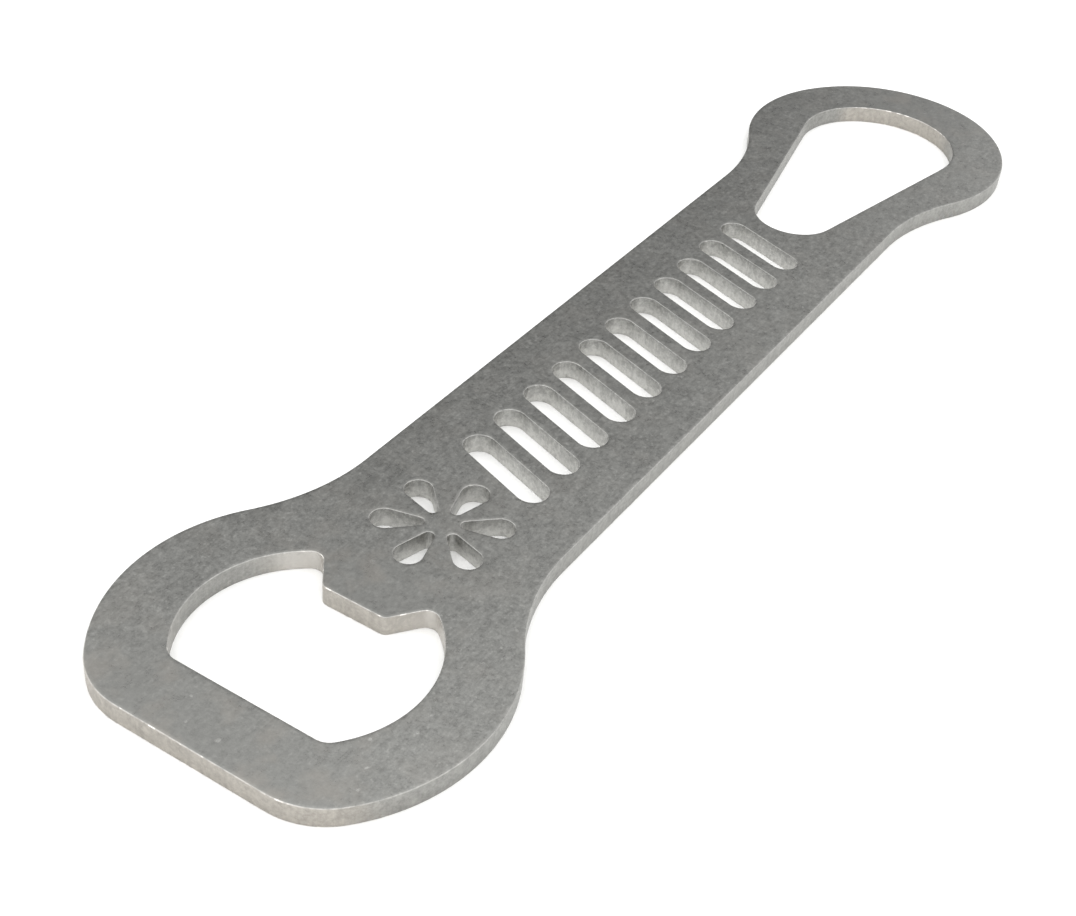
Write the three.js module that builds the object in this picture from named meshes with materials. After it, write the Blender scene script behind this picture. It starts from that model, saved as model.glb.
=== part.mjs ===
// A souvenir bottle opener cut from one flat steel plate. All sizes are in millimetres.
//
// The plate lies flat on z = 0. Its outline, cap opening and ring hole are mirrored about the plane
// y = 0, and the ornament's slots lean towards the ring. The outline is drawn with x measured from
// the flat end of the opener head, and the finished plate is then moved along x, so that the
// origin ends up under the middle of its length. +X points from the head to the ring.
import * as THREE from 'three';

// The plate
const plateThickness = 2.5;
const edgeChamfer = 0.25;
const handleWidth = 27;

// Opener head: a disc cut off by a flat end, flowing into the handle
const headRadius = 21.75;
const headCentreX = 17.7;
const headCornerRadius = 9.5;
const headNeckRadius = 27;

// Ring end: a round tip, fuller shoulders, and a hollow flank down to the handle
const ringTipRadius = 18.5;
const ringTipCentreX = 163;
const ringShoulderRadius = 22.5;
const ringShoulderAngle = THREE.MathUtils.degToRad(41);
const ringNeckRadius = 31.5;
const overallLength = ringTipCentreX + ringTipRadius;

// Cap opening: a round hole with a heel that rests on top of the cap and a lip that lifts its rim
const capHoleRadius = 13.7;
const heelX = 8;
const heelCornerRadius = 2.2;
const lipX = 25;
const lipHalfWidth = 4;
const lipCornerRadius = 1;
const lipFlankAngle = THREE.MathUtils.degToRad(36.5);
const lipReliefRadius = 1.4;

// Ring hole: a drop shape with its narrow end towards the handle
const ringHole = { narrowX: 130.3, narrowRadius: 5.8, wideX: 161, wideRadius: 11.85 };

// Ornament: six drop-shaped petals, then a row of plain leaning slots along the handle
const rosetteCentreX = 41;
const petalCount = 6;
const petal = { narrowX: 2.7, narrowRadius: 0.7, wideX: 6.4, wideRadius: 1.65 };
const slotCount = 11;
const slotPitch = 6.5;
const slotWidth = 4;
const slotLength = 14;
const slotLean = THREE.MathUtils.degToRad(20);
const slotRowCentreX = 86;

// Round stretches are straight chords that stay this close to the true curve.
const chordError = 0.02;

// Points along an arc. The end angle may lie on either side of the start angle.
function arc(centre, radius, startAngle, endAngle) {
  const widestStep = 2 * Math.acos(1 - chordError / radius);
  const steps = Math.max(2, Math.ceil(Math.abs(endAngle - startAngle) / widestStep));
  const points = [];
  for (let step = 0; step <= steps; step += 1) {
    const angle = THREE.MathUtils.lerp(startAngle, endAngle, step / steps);
    points.push(polar(centre, radius, angle));
  }
  return points;
}

function polar(centre, radius, angle) {
  return new THREE.Vector2(centre.x + radius * Math.cos(angle), centre.y + radius * Math.sin(angle));
}

function angleFrom(centre, point) {
  return Math.atan2(point.y - centre.y, point.x - centre.x);
}

function leg(hypotenuse, otherLeg) {
  return Math.sqrt(hypotenuse ** 2 - otherLeg ** 2);
}

// Closes a half outline, drawn from left to right above the x axis, with its mirror image below
// the axis. The result runs counter-clockwise, and a point on the axis is used once.
function mirrored(half) {
  const offAxis = half.filter((point) => point.y > chordError / 2);
  const below = offAxis.map((point) => new THREE.Vector2(point.x, -point.y));
  return below.concat(half.toReversed());
}

// A drop: two round ends on the x axis, joined by the lines that touch both circles.
function drop({ narrowX, narrowRadius, wideX, wideRadius }) {
  const taper = Math.asin((wideRadius - narrowRadius) / (wideX - narrowX));
  const touchAngle = Math.PI / 2 + taper;
  const narrowEnd = arc({ x: narrowX, y: 0 }, narrowRadius, Math.PI, touchAngle);
  const wideEnd = arc({ x: wideX, y: 0 }, wideRadius, touchAngle, 0);
  return mirrored([...narrowEnd, ...wideEnd]);
}

// A slot with round ends, square to the handle and centred on the origin.
function uprightSlot() {
  const radius = slotWidth / 2;
  const reach = slotLength / 2 - radius;
  return mirrored(arc({ x: 0, y: reach }, radius, Math.PI, 0));
}

// A copy of an outline drawn about the origin, turned there and then moved along the handle.
function placed(points, x, turn) {
  const origin = new THREE.Vector2(0, 0);
  const shift = new THREE.Vector2(x, 0);
  return points.map((point) => point.clone().rotateAround(origin, turn).add(shift));
}

// The outline from the flat end of the head, over the handle's upper edge, to the tip of the ring.
function plateOutline() {
  const head = { x: headCentreX, y: 0 };
  const cornerY = leg(headRadius - headCornerRadius, headCentreX - headCornerRadius);
  const corner = { x: headCornerRadius, y: cornerY };
  const cornerEnd = angleFrom(head, corner);

  const headNeck = { y: handleWidth / 2 + headNeckRadius };
  headNeck.x = headCentreX + leg(headRadius + headNeckRadius, headNeck.y);
  const headEnd = angleFrom(head, headNeck);

  const tip = { x: ringTipCentreX, y: 0 };
  const shoulder = polar(tip, ringTipRadius - ringShoulderRadius, ringShoulderAngle);
  const ringNeck = { y: handleWidth / 2 + ringNeckRadius };
  ringNeck.x = shoulder.x - leg(ringShoulderRadius + ringNeckRadius, ringNeck.y - shoulder.y);
  const shoulderStart = angleFrom(shoulder, ringNeck);

  const half = [
    ...arc(corner, headCornerRadius, Math.PI, cornerEnd),
    ...arc(head, headRadius, cornerEnd, headEnd).slice(1),
    ...arc(headNeck, headNeckRadius, headEnd - Math.PI, -Math.PI / 2).slice(1),
    ...arc(ringNeck, ringNeckRadius, -Math.PI / 2, shoulderStart - Math.PI),
    ...arc(shoulder, ringShoulderRadius, shoulderStart, ringShoulderAngle).slice(1),
    ...arc(tip, ringTipRadius, ringShoulderAngle, 0).slice(1),
  ];
  return mirrored(half);
}

// The cap opening from the heel, round the hole and the relief cut, to the lip.
function capOpening() {
  const hole = { x: headCentreX, y: 0 };
  const heelCorner = { x: heelX + heelCornerRadius };
  heelCorner.y = leg(capHoleRadius - heelCornerRadius, headCentreX - heelCorner.x);
  const heelEnd = angleFrom(hole, heelCorner);

  // The lip's flank is a line out of the lip's sharp corner. The relief circle touches that line
  // from the open side and touches the hole from inside.
  const lip = new THREE.Vector2(lipX, lipHalfWidth);
  const along = polar({ x: 0, y: 0 }, 1, lipFlankAngle);
  const open = polar({ x: 0, y: 0 }, 1, lipFlankAngle + Math.PI / 2);
  const start = lip.clone().addScaledVector(open, lipReliefRadius).sub(new THREE.Vector2(hole.x, hole.y));
  const across = start.dot(open);
  const reach = leg(capHoleRadius - lipReliefRadius, across) - start.dot(along);
  const relief = lip.clone().addScaledVector(open, lipReliefRadius).addScaledVector(along, reach);
  const reliefStart = angleFrom(hole, relief);
  const reliefEnd = lipFlankAngle - Math.PI / 2;

  // The lip's corner is rounded into the metal, between the flank and the lip's face.
  const cornerAngle = Math.PI / 2 + lipFlankAngle;
  const trim = lipCornerRadius / Math.tan(cornerAngle / 2);
  const lipCorner = { x: lipX + lipCornerRadius, y: lipHalfWidth - trim };

  return mirrored([
    ...arc(heelCorner, heelCornerRadius, Math.PI, heelEnd),
    ...arc(hole, capHoleRadius, heelEnd, reliefStart).slice(1),
    ...arc(relief, lipReliefRadius, reliefStart, reliefEnd).slice(1),
    ...arc(lipCorner, lipCornerRadius, lipFlankAngle + Math.PI / 2, Math.PI),
  ]);
}

function rosette() {
  const petals = [];
  for (let index = 0; index < petalCount; index += 1) {
    petals.push(placed(drop(petal), rosetteCentreX, (index * 2 * Math.PI) / petalCount));
  }
  return petals;
}

function slotRow() {
  const slots = [];
  for (let index = 0; index < slotCount; index += 1) {
    const x = slotRowCentreX + (index - (slotCount - 1) / 2) * slotPitch;
    slots.push(placed(uprightSlot(), x, -slotLean));
  }
  return slots;
}

function buildPlate() {
  const shape = new THREE.Shape(plateOutline());
  const holes = [capOpening(), drop(ringHole), ...rosette(), ...slotRow()];
  for (const points of holes) {
    shape.holes.push(new THREE.Path(points));
  }
  const geometry = new THREE.ExtrudeGeometry(shape, {
    depth: plateThickness - 2 * edgeChamfer,
    steps: 1,
    bevelEnabled: true,
    bevelThickness: edgeChamfer,
    bevelSize: edgeChamfer,
    bevelOffset: -edgeChamfer,
    bevelSegments: 1,
  });
  const tumbledSteel = new THREE.MeshStandardMaterial({
    name: 'tumbled_steel',
    color: new THREE.Color(0.55, 0.54, 0.52),
    roughness: 0.5,
    metalness: 1,
  });
  const plate = new THREE.Mesh(geometry, tumbledSteel);
  plate.name = 'opener_plate';
  plate.position.set(-overallLength / 2, 0, edgeChamfer);
  return plate;
}

const bottleOpener = new THREE.Group();
bottleOpener.name = 'bottle_opener';
bottleOpener.add(buildPlate());

export default bottleOpener;
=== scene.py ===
"""Builds the visible model of a flat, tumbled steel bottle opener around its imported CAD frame.

The plate is one closed surface. Its rim is one rounded profile carried along each outline, and its
two faces are filled between the rims. All sizes are in metres, in the frame's own axes: +X runs
from the opener head to the finger ring, +Z up through the plate.
"""

import math

import bpy
import numpy as np
from bpy.props import FloatProperty, FloatVectorProperty, IntProperty, PointerProperty
from mathutils import Euler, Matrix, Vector
from mathutils.geometry import delaunay_2d_cdt


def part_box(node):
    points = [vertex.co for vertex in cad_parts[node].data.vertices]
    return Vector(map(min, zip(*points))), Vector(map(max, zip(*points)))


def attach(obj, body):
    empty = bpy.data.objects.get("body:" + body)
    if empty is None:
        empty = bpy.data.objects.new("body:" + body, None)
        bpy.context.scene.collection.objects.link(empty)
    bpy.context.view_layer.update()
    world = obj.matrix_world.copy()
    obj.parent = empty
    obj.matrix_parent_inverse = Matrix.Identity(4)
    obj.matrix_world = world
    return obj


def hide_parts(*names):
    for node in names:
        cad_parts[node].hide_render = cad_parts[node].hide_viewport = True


bl_info = {
    "name": "Flat Bottle Opener",
    "version": (1, 0, 0),
    "blender": (4, 5, 0),
    "location": "3D View > Sidebar > Opener",
    "description": "Builds a flat steel bottle opener and the small studio it stands in",
    "category": "Add Mesh",
}

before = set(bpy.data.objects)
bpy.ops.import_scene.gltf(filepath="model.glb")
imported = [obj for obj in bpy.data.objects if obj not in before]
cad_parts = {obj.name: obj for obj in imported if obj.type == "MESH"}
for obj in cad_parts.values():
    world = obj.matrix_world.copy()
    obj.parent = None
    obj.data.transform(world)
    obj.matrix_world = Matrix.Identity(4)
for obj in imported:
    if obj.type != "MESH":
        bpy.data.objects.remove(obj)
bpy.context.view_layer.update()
PLATE_LOW, PLATE_HIGH = (np.array(corner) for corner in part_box("opener_plate"))
PLATE_LENGTH, _, PLATE_THICKNESS = PLATE_HIGH - PLATE_LOW

MM = 0.001
RIGHT_ANGLE = math.pi / 2


# ---------------------------------------------------------------- settings


def length(name, millimetres, description):
    """A size in metres with its default given in millimetres."""
    return FloatProperty(
        name=name,
        description=description,
        default=millimetres * MM,
        min=0.0,
        unit="LENGTH",
        precision=5,
    )


def angle(name, degrees, description):
    """An angle with its default given in degrees."""
    return FloatProperty(
        name=name, description=description, default=math.radians(degrees), subtype="ANGLE"
    )


def tint(name, value, description):
    """A colour, as shares of red, green and blue light."""
    return FloatVectorProperty(
        name=name, description=description, subtype="COLOR", size=3, default=value
    )


def part_of_one(name, value, description):
    """A share between nothing and all."""
    return FloatProperty(name=name, description=description, default=value, subtype="FACTOR")


class OpenerSizes(bpy.types.PropertyGroup):
    """Sizes of the plate's outline and of everything that is cut out of it."""

    handle_width: length("Handle width", 27, "Across the parallel part of the handle")
    head_radius: length("Head radius", 21.75, "Disc of the opener head")
    head_centre: length("Head centre", 17.7, "From the flat end to the middle of the head's disc")
    head_corner: length("Head corner", 9.5, "Radius between the flat end and the disc")
    head_neck: length("Head neck", 27, "Hollow radius between the head and the handle")
    tip_radius: length("Ring tip radius", 18.5, "Round tip of the ring end")
    shoulder_radius: length("Ring shoulder radius", 22.5, "Fuller radius behind the tip")
    shoulder_angle: angle("Ring shoulder angle", 41, "Where the tip turns into the shoulder")
    ring_neck: length("Ring neck", 31.5, "Hollow radius between the ring and the handle")
    cap_radius: length("Cap hole radius", 13.7, "Round part of the cap opening")
    heel: length("Heel", 8, "From the flat end to the heel that rests on the cap")
    heel_corner: length("Heel corner", 2.2, "Radius at the ends of the heel")
    lip: length("Lip", 25, "From the flat end to the lip that lifts the cap")
    lip_half_width: length("Lip half width", 4, "Half the width of the lip's straight face")
    lip_corner: length("Lip corner", 1, "Rounding of the lip's two corners")
    lip_flank: angle("Lip flank", 36.5, "Slope of the lip's flanks against the plate's axis")
    lip_relief: length("Lip relief", 1.4, "Radius where a flank meets the round hole")
    ring_narrow: length("Ring hole narrow end", 130.3, "Centre of the drop's narrow end")
    ring_narrow_radius: length("Ring hole narrow radius", 5.8, "Narrow end of the drop")
    ring_wide: length("Ring hole wide end", 161, "Centre of the drop's wide end")
    ring_wide_radius: length("Ring hole wide radius", 11.85, "Wide end of the drop")
    rosette_centre: length("Rosette centre", 41, "From the flat end to the rosette")
    petal_count: IntProperty(name="Petals", description="Petals in the rosette", default=6, min=3)
    petal_narrow: length("Petal narrow end", 2.7, "From the rosette's centre")
    petal_narrow_radius: length("Petal narrow radius", 0.7, "Narrow end of a petal")
    petal_wide: length("Petal wide end", 6.4, "From the rosette's centre")
    petal_wide_radius: length("Petal wide radius", 1.65, "Wide end of a petal")
    slot_count: IntProperty(name="Slots", description="Slots in the handle", default=11, min=1)
    slot_row_centre: length("Slot row centre", 86, "From the flat end to the middle of the row")
    slot_pitch: length("Slot pitch", 6.5, "From one slot to the next")
    slot_width: length("Slot width", 4, "Across one slot")
    slot_length: length("Slot length", 14, "From one round end of a slot to the other")
    slot_lean: angle("Slot lean", 20, "How far the slots lean towards the ring")
    edge_round: length("Edge radius", 0.12, "Tumbled edges of the outline and the two big holes")
    cutout_round: length("Cut-out edge radius", 0.09, "Tumbled edges of the small cut-outs")
    wear_reach: length("Wear reach", 8.5, "How far wear spreads from where the opener rubs")
    # Where the painted highlight on the cap hole's wall lies and how far it spreads.
    highlight_reach: length("Highlight reach", 3, "How far the polish spreads in the cap hole")
    highlight_angle: angle("Highlight angle", 39, "From the axis to each polished spot of the cap hole")
    face_border: length("Face border", 0.45, "Width of the face's outermost band, edge included")
    cut_taper: length("Cut taper", 0.03, "How much the cut wall leans in towards the underside")
    rim_spacing: length("Rim spacing", 0.4, "Longest step along an outline")
    face_spacing: length("Face spacing", 1.2, "Step of the points that fill the faces")


class SteelLook(bpy.types.PropertyGroup):
    """Colour and finish of the tumbled steel."""

    face: tint("Face", (0.325, 0.325, 0.31), "Tumbled face")
    wall: tint("Wall", (0.316, 0.314, 0.3), "Cut wall")
    worn_wall: tint("Worn wall", (0.405, 0.383, 0.35), "Cut wall where the opener works and wears")
    cutout: tint("Cut-out", (0.46, 0.457, 0.44), "Cut wall of the small cut-outs")
    # The burnished edge's colour also paints highlights: as it is along the worn edges, and
    # brightened for their sparkles and for two spots of the cap hole.
    edge: tint("Edge", (0.62, 0.6, 0.57), "Burnished edge")
    face_roughness: part_of_one("Face roughness", 0.33, "Of the tumbled face")
    wall_roughness: part_of_one("Wall roughness", 0.5, "Of the cut wall")
    edge_roughness: part_of_one("Edge roughness", 0.3, "Of the burnished edge")


class StudioSetup(bpy.types.PropertyGroup):
    """Floor, lights and camera."""

    floor: tint("Floor", (0.96, 0.96, 0.95), "Floor colour")
    floor_size: FloatProperty(
        name="Floor size", description="Edge of the square floor", default=20, unit="LENGTH"
    )
    room: FloatProperty(name="Room", description="Brightness of the white room", default=1.35)
    dim_around: angle("Dim side", 40, "Bearing from +X of the room's dim side")
    dim_up: angle("Dim side height", 17, "Height of the dim side's middle above the floor")
    dim_spread: angle("Dim side spread", 42, "From the dim side's middle to where it ends")
    dim_depth: FloatProperty(
        name="Dim side depth", description="Light missing in the dim side's middle", default=0.87
    )
    light_size: FloatProperty(
        name="Light size", description="Across each soft light", default=0.8, unit="LENGTH"
    )
    light_distance: FloatProperty(
        name="Light distance",
        description="From the plate to each light",
        default=1.3,
        unit="LENGTH",
    )
    lens: FloatProperty(name="Lens", description="Focal length in millimetres", default=56)
    camera_place: FloatVectorProperty(
        name="Camera place",
        description="Where the camera stands",
        subtype="TRANSLATION",
        default=(-0.1677, -0.0766, 0.1203),
    )
    camera_turn: FloatVectorProperty(
        name="Camera turn",
        description="How the camera is turned",
        subtype="EULER",
        default=tuple(math.radians(value) for value in (52.39, -4.63, -57.37)),
    )


# ---------------------------------------------------------------- outlines
# A stretch is a pair of arrays: points in the plane, and unit tangents along the travel.
# A loop is a closed one, with outward normals in place of the tangents.

WIDEST_TURN = math.radians(7.5)


def polar(centre, radius, turn):
    """The point at one angle on a circle."""
    return np.array([centre[0] + radius * math.cos(turn), centre[1] + radius * math.sin(turn)])


def bearing(centre, point):
    """The angle at which a point is seen from a centre."""
    return math.atan2(point[1] - centre[1], point[0] - centre[0])


def leg(hypotenuse, other):
    """The second short side of a right triangle."""
    return math.sqrt(hypotenuse**2 - other**2)


def arc(centre, radius, start, end, spacing):
    """A circle's points from one angle to another, in equal steps.

    A step is no longer than the spacing and turns no further than the widest turn.
    """
    step = min(WIDEST_TURN, spacing / radius)
    turns = np.linspace(start, end, max(2, math.ceil(abs(end - start) / step)) + 1)
    outward = np.column_stack((np.cos(turns), np.sin(turns)))
    along = np.column_stack((-outward[:, 1], outward[:, 0])) * np.sign(end - start)
    return np.asarray(centre) + radius * outward, along


def line(start, end, spacing):
    """A straight stretch in equal steps no longer than the spacing."""
    start, end = np.asarray(start, float), np.asarray(end, float)
    reach = np.linalg.norm(end - start)
    share = np.linspace(0, 1, max(1, math.ceil(reach / spacing)) + 1)[:, None]
    return start + share * (end - start), np.tile((end - start) / reach, (len(share), 1))


def joined(stretches):
    """One stretch out of several that touch end to end, with each shared point used once."""
    points = [stretches[0][0]] + [stretch[0][1:] for stretch in stretches[1:]]
    tangents = [stretches[0][1]] + [stretch[1][1:] for stretch in stretches[1:]]
    return np.concatenate(points), np.concatenate(tangents)


def closed(half):
    """A closed loop from a stretch that runs above the x axis, from the axis back to the axis.

    The mirror image below the axis comes first, so the loop runs counter-clockwise. Returns its
    points and the unit normals that point out of it, which are the tangents turned clockwise.
    """
    points, tangents = half
    mirror = np.array([1, -1])
    loop = np.concatenate((points * mirror, points[-2:0:-1]))
    along = np.concatenate((tangents * mirror, -tangents[-2:0:-1]))
    return loop, np.column_stack((along[:, 1], -along[:, 0]))


def plate_outline(sizes):
    """Flat end, corner, head disc, hollow neck, straight handle, hollow neck, shoulder and tip."""
    spacing = sizes.rim_spacing
    edge = sizes.handle_width / 2
    head = np.array([sizes.head_centre, 0])
    corner_y = leg(sizes.head_radius - sizes.head_corner, sizes.head_centre - sizes.head_corner)
    corner = np.array([sizes.head_corner, corner_y])
    corner_end = bearing(head, corner)

    neck_y = edge + sizes.head_neck
    neck = np.array([sizes.head_centre + leg(sizes.head_radius + sizes.head_neck, neck_y), neck_y])
    head_end = bearing(head, neck)

    tip = np.array([PLATE_LENGTH - sizes.tip_radius, 0])
    shoulder = polar(tip, sizes.tip_radius - sizes.shoulder_radius, sizes.shoulder_angle)
    hollow_y = edge + sizes.ring_neck
    hollow_reach = leg(sizes.shoulder_radius + sizes.ring_neck, hollow_y - shoulder[1])
    hollow = np.array([shoulder[0] - hollow_reach, hollow_y])
    shoulder_start = bearing(shoulder, hollow)

    return closed(
        joined(
            [
                line((0, 0), (0, corner_y), spacing),
                arc(corner, sizes.head_corner, math.pi, corner_end, spacing),
                arc(head, sizes.head_radius, corner_end, head_end, spacing),
                arc(neck, sizes.head_neck, head_end - math.pi, -RIGHT_ANGLE, spacing),
                line((neck[0], edge), (hollow[0], edge), spacing),
                arc(hollow, sizes.ring_neck, -RIGHT_ANGLE, shoulder_start - math.pi, spacing),
                arc(shoulder, sizes.shoulder_radius, shoulder_start, sizes.shoulder_angle, spacing),
                arc(tip, sizes.tip_radius, sizes.shoulder_angle, 0, spacing),
            ]
        )
    )


def cap_opening(sizes):
    """Heel, round hole, relief cut, flank and lip.

    The relief circle touches the flank's line from the open side and the round hole from inside,
    so its centre lies on a line beside the flank, at a known distance from the hole's centre.
    """
    spacing = sizes.rim_spacing
    hole = np.array([sizes.head_centre, 0])
    corner_x = sizes.heel + sizes.heel_corner
    corner_y = leg(sizes.cap_radius - sizes.heel_corner, sizes.head_centre - corner_x)
    heel_end = bearing(hole, (corner_x, corner_y))

    along = polar((0, 0), 1, sizes.lip_flank)
    aside = polar((0, 0), 1, sizes.lip_flank + RIGHT_ANGLE)
    sharp_corner = np.array([sizes.lip, sizes.lip_half_width])
    beside = sharp_corner + aside * sizes.lip_relief
    offset = beside - hole
    reach = leg(sizes.cap_radius - sizes.lip_relief, offset @ aside) - offset @ along
    relief = beside + along * reach
    relief_start = bearing(hole, relief)

    trim = sizes.lip_corner / math.tan((RIGHT_ANGLE + sizes.lip_flank) / 2)
    lip_corner = (sizes.lip + sizes.lip_corner, sizes.lip_half_width - trim)
    flank_start = relief - aside * sizes.lip_relief
    return closed(
        joined(
            [
                line((sizes.heel, 0), (sizes.heel, corner_y), spacing),
                arc((corner_x, corner_y), sizes.heel_corner, math.pi, heel_end, spacing),
                arc(hole, sizes.cap_radius, heel_end, relief_start, spacing),
                arc(relief, sizes.lip_relief, relief_start, sizes.lip_flank - RIGHT_ANGLE, spacing),
                line(flank_start, sharp_corner + along * trim, spacing),
                arc(lip_corner, sizes.lip_corner, sizes.lip_flank + RIGHT_ANGLE, math.pi, spacing),
                line((sizes.lip, lip_corner[1]), (sizes.lip, 0), spacing),
            ]
        )
    )


def drop(narrow, narrow_radius, wide, wide_radius, spacing):
    """Two circles on the x axis and the lines that touch both, seen at arcsin(dr / dx)."""
    touch = RIGHT_ANGLE + math.asin((wide_radius - narrow_radius) / (wide - narrow))
    narrow_end = arc((narrow, 0), narrow_radius, math.pi, touch, spacing)
    wide_end = arc((wide, 0), wide_radius, touch, 0, spacing)
    side = line(narrow_end[0][-1], wide_end[0][0], spacing)
    return closed(joined([narrow_end, side, wide_end]))


def moved(loop, centre, turn=0.0):
    """A loop turned about the origin and then shifted."""
    cos, sin = math.cos(turn), math.sin(turn)
    matrix = np.array([[cos, sin], [-sin, cos]])
    return loop[0] @ matrix + np.asarray(centre), loop[1] @ matrix


def rosette(sizes):
    """Equal petals, each a drop, at equal angles about one centre."""
    petal = drop(
        sizes.petal_narrow,
        sizes.petal_narrow_radius,
        sizes.petal_wide,
        sizes.petal_wide_radius,
        sizes.rim_spacing,
    )
    turns = 2 * math.pi * np.arange(sizes.petal_count) / sizes.petal_count
    return [moved(petal, (sizes.rosette_centre, 0), turn) for turn in turns]


def slot_row(sizes):
    """Equal leaning slots with round ends, spread evenly about the middle of the row."""
    radius = sizes.slot_width / 2
    reach = sizes.slot_length / 2 - radius
    slot = closed(
        joined(
            [
                line((-radius, 0), (-radius, reach), sizes.rim_spacing),
                arc((0, reach), radius, math.pi, 0, sizes.rim_spacing),
                line((radius, reach), (radius, 0), sizes.rim_spacing),
            ]
        )
    )
    shifts = (np.arange(sizes.slot_count) - (sizes.slot_count - 1) / 2) * sizes.slot_pitch
    lean = -sizes.slot_lean
    return [moved(slot, (sizes.slot_row_centre + shift, 0), lean) for shift in shifts]


# ---------------------------------------------------------------- plate surface

EDGE_POINTS = 6  # across one rounded edge
WALL_POINTS = 6  # down the cut wall, its two ends included
MERGE_GAP = 1e-9  # below this, the triangulation takes two points as one
ALL_TRIANGLES = 0  # the triangulation's choice that keeps every triangle

# What the mesh stores at each point, each from 0 to 1: whether it belongs to the cut wall, to a
# burnished edge and to a small cut-out, how worn it is and how much painted highlight it gets.
MARKS = ("wall", "edge", "cutout", "wear", "highlight")


def rim_profile(sizes, edge_round):
    """The section of the rim from the upper face to the lower face.

    Columns are the distance in from the outline, the height, how much a point belongs to the cut
    wall and how much to the burnished edge, which also carries painted highlights. Each edge is a
    quarter of a circle, and the wall between the two leans in by the cut's taper.
    """
    quarter = np.linspace(0, RIGHT_ANGLE, EDGE_POINTS)
    inset = edge_round * (1 - np.sin(quarter))
    drop_down = edge_round * (1 - np.cos(quarter))
    share = np.sin(quarter) ** 2
    shine = np.sin(2 * quarter)
    upper = np.column_stack((inset, PLATE_THICKNESS - drop_down, share, shine))
    lower = np.column_stack((inset, drop_down, share, shine))[::-1]
    span = np.linspace(0, 1, WALL_POINTS)[1:-1, None]
    wall = upper[-1] * (1 - span) + lower[0] * span
    face = np.array([[sizes.face_border, PLATE_THICKNESS, 0, 0]])
    profile = np.concatenate((face, upper, wall, lower, face * [1, 0, 1, 1]))
    profile[:, 0] += sizes.cut_taper * (1 - profile[:, 1] / PLATE_THICKNESS) * profile[:, 2]
    return profile


def swept_rim(loop, profile, side):
    """The profile carried along a loop: point + side * inset * outward normal, at its height.

    The metal lies on side 1 of a hole's loop, which is outside it, and on side -1 of the outline.
    """
    points, normals = loop
    place = points[:, None, :] + side * profile[None, :, :1] * normals[:, None, :]
    height = np.broadcast_to(profile[None, :, 1:2], place.shape[:2] + (1,))
    return np.concatenate((place, height), axis=2)


def fading(distance, reach):
    """1 at no distance and one half at the reach: 1 / (1 + (distance / reach)^4)."""
    return 1 / (1 + (distance / reach) ** 4)


def wear(points, sizes):
    """How worn a place is, which fades with the distance from the flat end, lip or ring's end."""
    ring_end = sizes.ring_wide + sizes.ring_wide_radius
    past_corner = np.maximum(np.abs(points[:, 1]) - sizes.head_corner, 0)
    from_flat_end = np.hypot(points[:, 0], past_corner)
    from_lip = np.hypot(points[:, 0] - sizes.lip, points[:, 1])
    from_ring_end = np.hypot(points[:, 0] - ring_end, points[:, 1])
    distance = np.minimum(from_flat_end, np.minimum(from_lip, from_ring_end))
    return fading(distance, sizes.wear_reach)


def highlight(points, sizes):
    """How much painted highlight a place gets, which fades with the distance from two spots of the
    cap hole.
    """
    spot = polar((sizes.head_centre, 0), sizes.cap_radius, sizes.highlight_angle)
    distance = np.hypot(points[:, 0] - spot[0], np.abs(points[:, 1]) - spot[1])
    return fading(distance, sizes.highlight_reach)


def ring_quads(count, columns, first, flip):
    """Quads of a closed ring of profiles, numbered from a first vertex."""
    row = np.arange(count)[:, None] * columns + np.arange(columns - 1)[None, :]
    following = np.roll(row, -1, axis=0)
    quads = np.stack((row, row + 1, following + 1, following), axis=-1).reshape(-1, 4) + first
    return quads[:, ::-1] if flip else quads


def inside(points, loops):
    """True where a point lies inside an odd number of the loops, by counting edges to its right."""
    crossings = np.zeros(len(points), int)
    for loop in loops:
        start, end = loop, np.roll(loop, -1, axis=0)
        rise = end[:, 1] - start[:, 1]
        spans = (start[None, :, 1] > points[:, None, 1]) != (end[None, :, 1] > points[:, None, 1])
        share = (points[:, None, 1] - start[None, :, 1]) / np.where(rise == 0, 1, rise)[None, :]
        meets = start[None, :, 0] + share * (end - start)[None, :, 0]
        crossings += (spans & (meets > points[:, None, 0])).sum(axis=1)
    return crossings % 2 == 1


def face_points(borders, spacing):
    """Staggered grid points on the metal, none closer to a border than half the grid's step."""
    everything = np.concatenate(borders)
    low, high = everything.min(axis=0), everything.max(axis=0)
    columns = np.arange(low[0], high[0], spacing)
    rows = np.arange(low[1], high[1], spacing * math.sqrt(3) / 2)
    grid_x, grid_y = np.meshgrid(columns, rows)
    grid_x[1::2] += spacing / 2
    grid = np.column_stack((grid_x.ravel(), grid_y.ravel()))
    grid = grid[inside(grid, borders)]
    nearest = np.full(len(grid), np.inf)
    for border in borders:
        gaps = np.linalg.norm(grid[:, None, :] - border[None, :, :], axis=2)
        nearest = np.minimum(nearest, gaps.min(axis=1))
    return grid[nearest > spacing / 2]


def filled_face(borders, spacing):
    """Triangles that fill the metal between the borders, and the extra points that they use."""
    extra = face_points(borders, spacing)
    edges = []
    first = 0
    for border in borders:
        index = first + np.arange(len(border))
        edges.append(np.column_stack((index, np.roll(index, -1))))
        first += len(border)
    points = np.concatenate((*borders, extra))
    made, _, triangles, sources, _, _ = delaunay_2d_cdt(
        points.tolist(), np.concatenate(edges).tolist(), [], ALL_TRIANGLES, MERGE_GAP
    )
    if len(made) != len(points):
        raise RuntimeError("the face's borders touch or cross")
    original = np.array([source[0] for source in sources])
    triangles = original[np.array(triangles)]
    centres = points[triangles].mean(axis=1)
    return extra, triangles[inside(centres, borders)]


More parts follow.
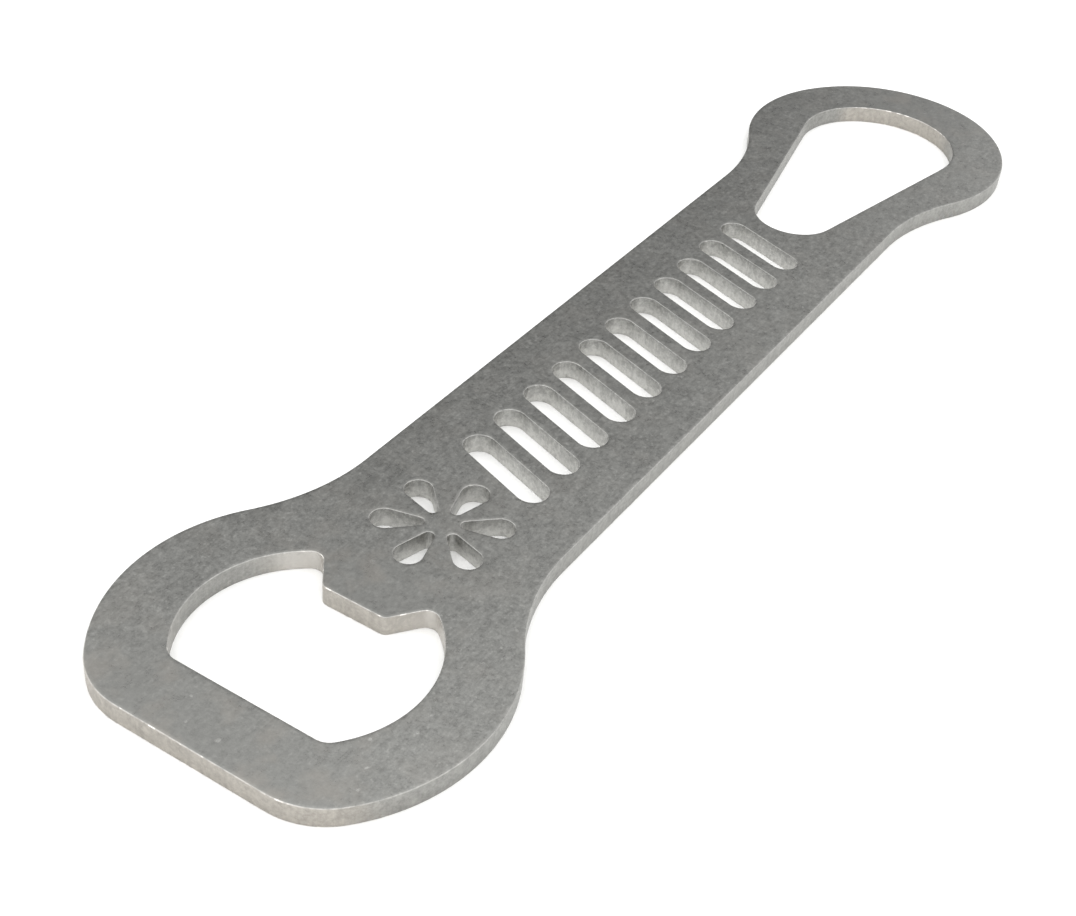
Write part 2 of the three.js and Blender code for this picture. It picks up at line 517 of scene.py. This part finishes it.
def plate_loops(sizes):
    """The outline and the two big holes, and apart from them the small cut-outs."""
    ring_hole = drop(
        sizes.ring_narrow,
        sizes.ring_narrow_radius,
        sizes.ring_wide,
        sizes.ring_wide_radius,
        sizes.rim_spacing,
    )
    return [plate_outline(sizes), cap_opening(sizes), ring_hole], rosette(sizes) + slot_row(sizes)


def plate_mesh(sizes):
    """The whole plate: swept rims first, then the points and triangles of the two faces.

    Returns the points, the faces and each point's marks, in the order of MARKS.
    """
    big, small = plate_loops(sizes)
    profiles = [rim_profile(sizes, sizes.edge_round)] * len(big)
    profiles += [rim_profile(sizes, sizes.cutout_round)] * len(small)
    columns = len(profiles[0])

    rims, quads, top_rows, marks = [], [], [], []
    first = 0
    for number, (loop, profile) in enumerate(zip(big + small, profiles)):
        is_hole = number > 0
        is_small = float(number >= len(big))
        rim = swept_rim(loop, profile, side=1 if is_hole else -1)
        rims.append(rim)
        quads.append(ring_quads(len(rim), columns, first, flip=is_hole))
        top_rows.append(first + np.arange(len(rim)) * columns)
        rim_marks = np.column_stack((profile[:, 2:], np.full(columns, is_small)))
        marks.append(np.tile(rim_marks, (len(rim), 1)))
        first += len(rim) * columns

    borders = [rim[:, 0, :2] for rim in rims]
    extra, triangles = filled_face(borders, sizes.face_spacing)
    top = np.column_stack((extra, np.full(len(extra), PLATE_THICKNESS)))
    under = np.column_stack((extra, np.zeros(len(extra))))
    points = np.concatenate((*(rim.reshape(-1, 3) for rim in rims), top, under))
    marks.append(np.zeros((len(top) + len(under), marks[0].shape[1])))
    marks = np.concatenate(marks)
    marks = np.column_stack((marks, wear(points, sizes), highlight(points, sizes)))

    top_row = np.concatenate(top_rows)
    under_row = top_row + columns - 1
    top_number = np.concatenate((top_row, first + np.arange(len(extra))))
    under_number = np.concatenate((under_row, first + len(extra) + np.arange(len(extra))))
    faces = [*np.concatenate(quads).tolist(), *top_number[triangles].tolist()]
    faces += under_number[triangles[:, ::-1]].tolist()
    return points + [PLATE_LOW[0], 0, PLATE_LOW[2]], faces, marks


# ---------------------------------------------------------------- shader arithmetic

# Sockets of a colour Mix node, whose names repeat: its factor, its two colours and its result.
MIX_FACTOR, MIX_LOW, MIX_HIGH, MIX_RESULT = 0, 6, 7, 2


class Wire:
    """A socket in a node tree. Arithmetic on wires adds Math nodes to the tree."""

    def __init__(self, tree, socket=None):
        self.tree = tree
        self.socket = socket

    def add(self, kind, settings, sockets, output=0):
        """One node of any kind: its settings first, then its sockets' values or links.

        Sockets are given by name or number. Returns the wire of one output.
        """
        node = self.tree.nodes.new(kind)
        for name, value in settings.items():
            setattr(node, name, value)
        for key, value in sockets.items():
            if isinstance(value, Wire):
                self.tree.links.new(value.socket, node.inputs[key])
            else:
                node.inputs[key].default_value = value
        return Wire(self.tree, node.outputs[output] if len(node.outputs) else None)

    def math(self, operation, *values):
        """One Math node."""
        return self.add("ShaderNodeMath", {"operation": operation}, dict(enumerate(values)))

    def __add__(self, other):
        return self.math("ADD", self, other)

    def __radd__(self, other):
        return self.math("ADD", other, self)

    def __sub__(self, other):
        return self.math("SUBTRACT", self, other)

    def __rsub__(self, other):
        return self.math("SUBTRACT", other, self)

    def __mul__(self, other):
        return self.math("MULTIPLY", self, other)

    def __rmul__(self, other):
        return self.math("MULTIPLY", other, self)

    def between(self, low, high):
        """0 below the low value, 1 above the high one, and smooth in between."""
        settings = {"interpolation_type": "SMOOTHSTEP"}
        return self.add("ShaderNodeMapRange", settings, {0: self, 1: low, 2: high, 3: 0.0, 4: 1.0})

    def blend(self, low, high):
        """A colour that goes from low to high as this value goes from 0 to 1."""
        settings = {"data_type": "RGBA", "clamp_factor": True}
        sockets = {MIX_FACTOR: self, MIX_LOW: low, MIX_HIGH: high}
        return self.add("ShaderNodeMix", settings, sockets, MIX_RESULT)


def noise(where, scale, detail=2.0, roughness=0.5):
    """Cloudy noise around one half, with this many features per metre."""
    sockets = {"Vector": where, "Scale": scale, "Detail": detail, "Roughness": roughness}
    return where.add("ShaderNodeTexNoise", {}, sockets)


def cells(where, scale, output):
    """Points scattered over the plate: the Distance to the nearest one, or that one's Color."""
    flat = {"voronoi_dimensions": "2D"}
    return where.add("ShaderNodeTexVoronoi", flat, {"Vector": where, "Scale": scale}, output)


def specks(where, scale, share):
    """Scattered ragged spots: a scattered point whose own shade is above a share gets one."""
    shade_of_point = where.add("ShaderNodeSeparateColor", {}, {0: cells(where, scale, "Color")})
    picked = shade_of_point.between(share, share + 0.02)
    raggedness = 0.3 * (noise(where, RAGGED_SCALE) - 0.5)
    outside = (cells(where, scale, "Distance") + raggedness).between(0.02, 0.08)
    return (1 - outside) * picked


def stretched(where, scale, degrees=0):
    """The place turned in the plate's plane and multiplied by its own scale along each axis."""
    turn = (0.0, 0.0, math.radians(degrees))
    sockets = {"Vector": where, "Rotation": turn, "Scale": scale}
    return where.add("ShaderNodeMapping", {}, sockets)


def brushed(where, degrees, along, across):
    """Fine streaks at one angle in the plate's plane, with features per metre in both ways."""
    return noise(stretched(where, (along, across, along), degrees), 1.0, detail=2)


def rgba(colour):
    """A colour with nothing see-through."""
    return (*colour, 1.0)


def shade(colour, factor):
    """A colour made darker or brighter, and no brighter than white."""
    return tuple(min(1.0, channel * factor) for channel in colour)


def shaded(tone, colour, darkest, brightest):
    """A colour that goes from its darkest to its brightest shade as a tone goes from 0 to 1."""
    return tone.blend(rgba(shade(colour, darkest)), rgba(shade(colour, brightest)))


# ---------------------------------------------------------------- steel

# Features per metre, from the broadest pattern to the finest.
PATCH_SCALE = 60
TANNED_SCALE = 160
WARM_SCALE = 240
GLINT_SPECK_SCALE = 340
DENT_SCALE = 420
MOTTLE_SCALE = 520
EDGE_GLINT_SCALE = 1000
BURNISH_HIGHLIGHT_SCALE = 1100
RAGGED_SCALE = 1700
GRAIN_SCALE = 1800
GRIT_SCALE = 2300
CUT_LINE_SCALE = (2200, 2200, 160)
# Tumbling marks: degrees in the plate's plane, features per metre along and across them.
STREAKS = ((35, 300, 3200), (-50, 340, 3600))

# How much each pattern shows in the tone of the faces and of the walls, in the relief of the
# whole plate, and in the roughness of the faces.
FACE_TONE = {"mottle": 0.35, "grain": 2.7, "streaks": 0.4, "glint": 0.4}
WALL_TONE = {"mottle": 0.9, "grain": 2.8, "cut_lines": 0.6, "pits": -0.12, "glint": 0.25}
RELIEF = {"grain": 1.2, "dents": 0.2, "mottle": 0.15, "streaks": 0.25}
FACE_ROUGHNESS = {"mottle": 0.16, "grain": 0.30, "glint_specks": -0.12}

CUT_LINE_RELIEF = 0.25
RELIEF_STRENGTH = 0.36
RELIEF_DEPTH = 0.03 * MM


def steel_patterns(where):
    """The patterns of the steel by name. The first three swing around 0, the rest start at 0."""
    crossed = [brushed(where, *streaks) for streaks in STREAKS]
    grit = noise(where, GRIT_SCALE, detail=1)
    return {
        "mottle": noise(where, MOTTLE_SCALE, detail=3, roughness=0.6) - 0.5,
        "grain": noise(where, GRAIN_SCALE, detail=4, roughness=0.8) - 0.5,
        "streaks": crossed[0] + crossed[1] - 1,
        "cut_lines": noise(stretched(where, CUT_LINE_SCALE), 1.0),
        "pits": 1 - grit.between(0.24, 0.33),
        "glint": grit.between(0.62, 0.72),
        "dents": cells(where, DENT_SCALE, "Distance").between(0.0, 0.35),
        # Scattered specks of painted highlight.
        "glint_specks": specks(where, GLINT_SPECK_SCALE, 0.82),
    }


def weighed(patterns, weights):
    """The sum of some patterns, each times its own weight."""
    parts = [weight * patterns[name] for name, weight in weights.items()]
    return sum(parts[1:], parts[0])


def face_colour(look, where, patterns, worn):
    """Mottled grey with warm stains and painted glints as bright specks, and calmer where it is
    worn.
    """
    patches = 0.3 * (noise(where, PATCH_SCALE) - 0.5)
    calmness = 1 - 0.55 * worn
    tone = 0.33 + patches + weighed(patterns, FACE_TONE) * calmness
    colour = shaded(tone, look.face, 0.83, 1.36)
    stains = noise(where, WARM_SCALE, detail=3).between(0.46, 0.66) * (0.12 + 0.4 * worn)
    colour = stains.blend(colour, rgba(look.worn_wall))
    # Painted glints: specks of painted highlight, twice as bright as the face.
    return (0.5 * patterns["glint_specks"]).blend(colour, rgba(shade(look.face, 2.0)))


def wall_colour(look, where, patterns, cutout, worn, highlighted):
    """Paler than the faces and tanned where it is worn. The small cut-outs' walls get lighter low
    down, a painted reflection of the floor, and two spots of the cap hole get a painted highlight.
    """
    tone = 0.2 + weighed(patterns, WALL_TONE)
    plain_wall = shaded(tone, look.wall, 0.78, 1.22)
    worn_wall = shaded(tone, look.worn_wall, 0.80, 1.20)
    height_up = where.add("ShaderNodeSeparateXYZ", {}, {0: where}, "Z")
    # Painted reflection of the floor: the small cut-outs' walls get lighter towards the underside.
    painted_floor_reflection = 1 - height_up.between(0.0, PLATE_THICKNESS)
    small_wall = shaded(tone + 0.6 * (painted_floor_reflection - 0.4), look.cutout, 0.70, 1.30)
    tanned = (worn + 0.9 * (noise(where, TANNED_SCALE) - 0.5)).between(0.15, 0.75)
    colour = cutout.blend(tanned.blend(plain_wall, worn_wall), small_wall)
    # Painted highlight on two spots of the cap hole's wall, in the brightened edge colour.
    painted_highlight = 0.58 * highlighted * patterns["mottle"].between(-0.35, -0.10)
    return painted_highlight.blend(colour, rgba(shade(look.edge, 1.1)))


def tumbled_steel(look):
    """Steel that came out of a tumbler: mottled grey faces, paler cut walls, bright worn edges. The
    edges are partly burnished and partly a painted highlight, and the glints and sparkles are
    painted highlights.
    """
    material = bpy.data.materials.new("tumbled_steel")
    material.use_nodes = True
    tree = material.node_tree
    tree.nodes.clear()
    graph = Wire(tree)
    where = graph.add("ShaderNodeTexCoord", {}, {}, "Object")
    wall, edge, cutout, worn, highlighted = (
        graph.add("ShaderNodeAttribute", {"attribute_name": name}, {}, "Fac") for name in MARKS
    )
    patterns = steel_patterns(where)

    # Burnished edges, brightest where worn and faint on the small cut-outs: partly real burnish,
    # partly a painted highlight in the edge colour.
    burnish_and_highlight = edge * (0.09 + 0.52 * worn) * (1 - 0.8 * cutout)
    burnish_and_highlight = burnish_and_highlight * noise(where, BURNISH_HIGHLIGHT_SCALE).between(0.34, 0.60)
    # Painted sparkles: near-white dots of painted highlight along the worn edges.
    edge_glints = edge * worn * noise(where, EDGE_GLINT_SCALE, detail=1).between(0.58, 0.68)
    colour = wall.blend(
        face_colour(look, where, patterns, worn),
        wall_colour(look, where, patterns, cutout, worn, highlighted),
    )
    colour = burnish_and_highlight.blend(colour, rgba(look.edge))
    colour = edge_glints.blend(colour, rgba(shade(look.edge, 1.5)))

    face_rough = look.face_roughness + weighed(patterns, FACE_ROUGHNESS)
    wall_rough = look.wall_roughness + 0.25 * patterns["grain"]
    rough = face_rough + (wall_rough - face_rough) * wall
    rough = rough + (look.edge_roughness - rough) * burnish_and_highlight

    height = weighed(patterns, RELIEF) + CUT_LINE_RELIEF * wall * patterns["cut_lines"]
    relief = {"Strength": RELIEF_STRENGTH, "Distance": RELIEF_DEPTH, "Height": height}
    shader = graph.add(
        "ShaderNodeBsdfPrincipled",
        {},
        {
            "Base Color": colour,
            "Metallic": 1.0,
            "Roughness": rough,
            "Normal": graph.add("ShaderNodeBump", {}, relief),
        },
    )
    graph.add("ShaderNodeOutputMaterial", {}, {"Surface": shader})
    return material


def plain_paint(name, colour):
    """A matte, even paint for the floor."""
    material = bpy.data.materials.new(name)
    material.use_nodes = True
    shader = material.node_tree.nodes["Principled BSDF"]
    shader.inputs["Base Color"].default_value = rgba(colour)
    shader.inputs["Roughness"].default_value = 0.9
    shader.inputs["Specular IOR Level"].default_value = 0.2
    return material


# ---------------------------------------------------------------- operators


def new_object(name, points, faces, material):
    """A mesh object at the origin, with its place in its points."""
    mesh = bpy.data.meshes.new(name)
    mesh.from_pydata(points, [], faces)
    mesh.materials.append(material)
    mesh.update()
    thing = bpy.data.objects.new(name, mesh)
    bpy.context.scene.collection.objects.link(thing)
    return thing


class OPENER_OT_build_plate(bpy.types.Operator):
    """Build the steel plate with its rounded edges and all that is cut out of it"""

    bl_idname = "opener.build_plate"
    bl_label = "Build Plate"

    def execute(self, context):
        scene = context.scene
        points, faces, marks = plate_mesh(scene.opener_sizes)
        plate = new_object("tumbled_plate", points, faces, tumbled_steel(scene.opener_look))
        mesh = plate.data
        mesh.shade_smooth()
        for column, name in enumerate(MARKS):
            attribute = mesh.attributes.new(name, "FLOAT", "POINT")
            attribute.data.foreach_set("value", np.ascontiguousarray(marks[:, column], np.float32))
        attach(plate, "root")
        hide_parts("opener_plate")
        return {"FINISHED"}


# The round soft lights around the plate and their bearings in degrees from +X.
SOFT_LIGHTS = {"soft_left": 120, "soft_near": 210, "soft_right": 300}
SOFT_LIGHT_UP = 60  # degrees above the floor


def room_light(studio):
    """An even white room with one dim side, which fades in smoothly around its middle."""
    world = bpy.data.worlds.new("room")
    world.use_nodes = True
    background = world.node_tree.nodes["Background"]
    graph = Wire(world.node_tree)
    direction = graph.add("ShaderNodeTexCoord", {}, {}, "Generated")
    level = math.cos(studio.dim_up)
    middle = (*polar((0, 0), level, studio.dim_around), math.sin(studio.dim_up))
    product = {"operation": "DOT_PRODUCT"}
    towards = graph.add("ShaderNodeVectorMath", product, {0: direction, 1: middle}, "Value")
    dimness = towards.between(math.cos(studio.dim_spread), 1)
    strength = studio.room * (1 - studio.dim_depth * dimness)
    background.inputs["Color"].default_value = (1.0, 1.0, 1.0, 1.0)
    world.node_tree.links.new(strength.socket, background.inputs["Strength"])
    return world


def soft_light(name, around, studio):
    """A disc that faces the plate, with a power of pi times its area."""
    data = bpy.data.lights.new(name, "AREA")
    data.shape = "DISK"
    data.size = studio.light_size
    data.energy = math.pi * math.pi * (studio.light_size / 2) ** 2
    light = bpy.data.objects.new(name, data)
    turned = Euler((0, math.radians(90 - SOFT_LIGHT_UP), math.radians(around)))
    outward = turned.to_matrix() @ Vector((0, 0, 1))
    light.location = outward * studio.light_distance
    light.rotation_euler = outward.to_track_quat("Z", "Y").to_euler()
    bpy.context.scene.collection.objects.link(light)


class OPENER_OT_build_stage(bpy.types.Operator):
    """Set up the floor, the soft lights and the camera"""

    bl_idname = "opener.build_stage"
    bl_label = "Build Stage"

    def execute(self, context):
        scene = context.scene
        studio = scene.opener_studio
        half = studio.floor_size / 2
        corners = [(-half, -half, 0), (half, -half, 0), (half, half, 0), (-half, half, 0)]
        paint = plain_paint("floor_paint", studio.floor)
        floor = new_object("floor", corners, [(0, 1, 2, 3)], paint)

        scene.world = room_light(studio)
        for name, around in SOFT_LIGHTS.items():
            soft_light(name, around, studio)

        camera_data = bpy.data.cameras.new("camera")
        camera_data.lens = studio.lens
        camera_data.clip_start = 0.01
        camera = bpy.data.objects.new("camera", camera_data)
        camera.location = studio.camera_place
        camera.rotation_euler = studio.camera_turn
        scene.collection.objects.link(camera)
        scene.camera = camera
        scene.view_settings.view_transform = "Standard"
        return {"FINISHED"}


class OPENER_PT_sidebar(bpy.types.Panel):
    """Settings and build buttons of the bottle opener"""

    bl_idname = "OPENER_PT_sidebar"
    bl_label = "Bottle Opener"
    bl_space_type = "VIEW_3D"
    bl_region_type = "UI"
    bl_category = "Opener"

    def draw(self, context):
        for settings, operator in (
            (context.scene.opener_sizes, OPENER_OT_build_plate),
            (context.scene.opener_look, None),
            (context.scene.opener_studio, OPENER_OT_build_stage),
        ):
            box = self.layout.box()
            for name in settings.__annotations__:
                box.prop(settings, name)
            if operator:
                box.operator(operator.bl_idname)


CLASSES = (
    OpenerSizes,
    SteelLook,
    StudioSetup,
    OPENER_OT_build_plate,
    OPENER_OT_build_stage,
    OPENER_PT_sidebar,
)


def register():
    for cls in CLASSES:
        bpy.utils.register_class(cls)
    bpy.types.Scene.opener_sizes = PointerProperty(type=OpenerSizes)
    bpy.types.Scene.opener_look = PointerProperty(type=SteelLook)
    bpy.types.Scene.opener_studio = PointerProperty(type=StudioSetup)


def unregister():
    del bpy.types.Scene.opener_studio
    del bpy.types.Scene.opener_look
    del bpy.types.Scene.opener_sizes
    for cls in reversed(CLASSES):
        bpy.utils.unregister_class(cls)


def main():
    register()
    bpy.ops.opener.build_stage()
    bpy.ops.opener.build_plate()


if __name__ == "__main__":
    main()
